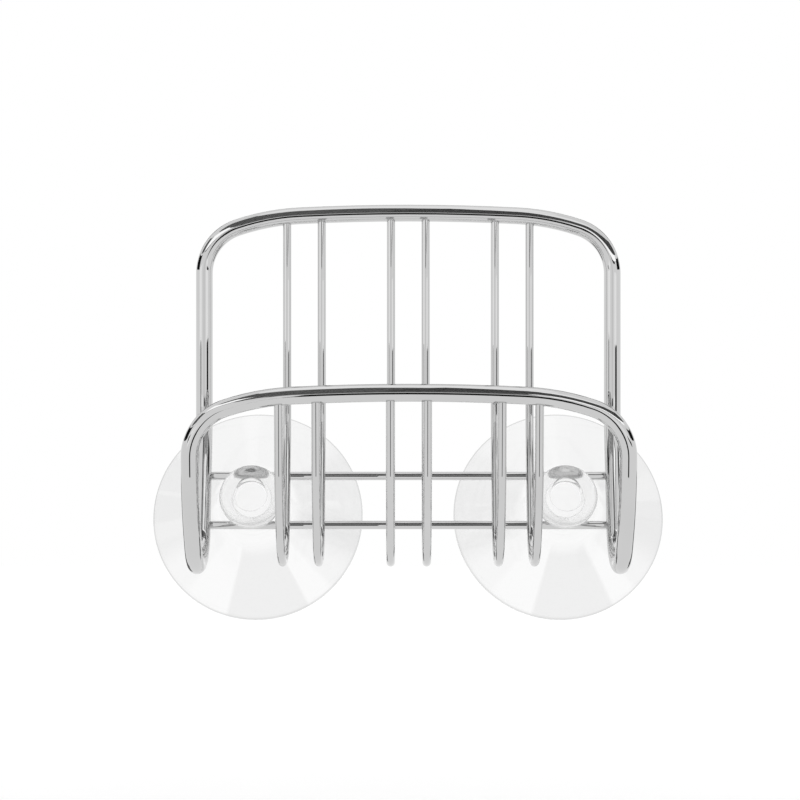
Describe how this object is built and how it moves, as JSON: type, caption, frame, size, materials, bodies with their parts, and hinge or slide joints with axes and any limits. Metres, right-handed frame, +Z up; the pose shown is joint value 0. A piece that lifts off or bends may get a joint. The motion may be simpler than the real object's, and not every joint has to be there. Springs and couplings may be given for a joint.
{
  "type": "suction-mounted wire sponge holder",
  "caption": "Chrome wire basket that holds a kitchen sponge against a sink wall: a crowned loop bent to a U, welded ribs and cross wires, and clear suction cups that rock in the cross wires.",
  "frame": {"origin": "midway between the two suction cup rims, on the plane that both rims press against", "axes": "+X to the right as seen from the front, +Y back towards the wall, +Z up along the straight back legs"},
  "size_m": [0.1582, 0.0685, 0.1259],
  "materials": {
    "chrome_wire": "bright chrome plate on steel wire",
    "clear_vinyl": "clear soft vinyl, moulded gloss"
  },
  "bodies": {
    "basket": {"frame_loop": "chrome_wire", "rib_wire_1": "chrome_wire", "rib_wire_2": "chrome_wire", "rib_wire_3": "chrome_wire", "rib_wire_4": "chrome_wire", "rib_wire_5": "chrome_wire", "rib_wire_6": "chrome_wire", "cross_wire_upper": "chrome_wire", "cross_wire_lower": "chrome_wire"},
    "left_cup": {"suction_cup_left": "clear_vinyl"},
    "right_cup": {"suction_cup_right": "clear_vinyl"}
  },
  "joints": [
    {"name": "left_cup_rock", "type": "hinge", "parent": "basket", "child": "left_cup", "pos_m": [-0.0466, -0.02115, 0.00606], "axis": [1, 0, 0], "range_deg": [0, 8]},
    {"name": "right_cup_rock", "type": "hinge", "parent": "basket", "child": "right_cup", "pos_m": [0.0466, -0.02115, 0.00606], "axis": [1, 0, 0], "range_deg": [0, 8]}
  ]
}
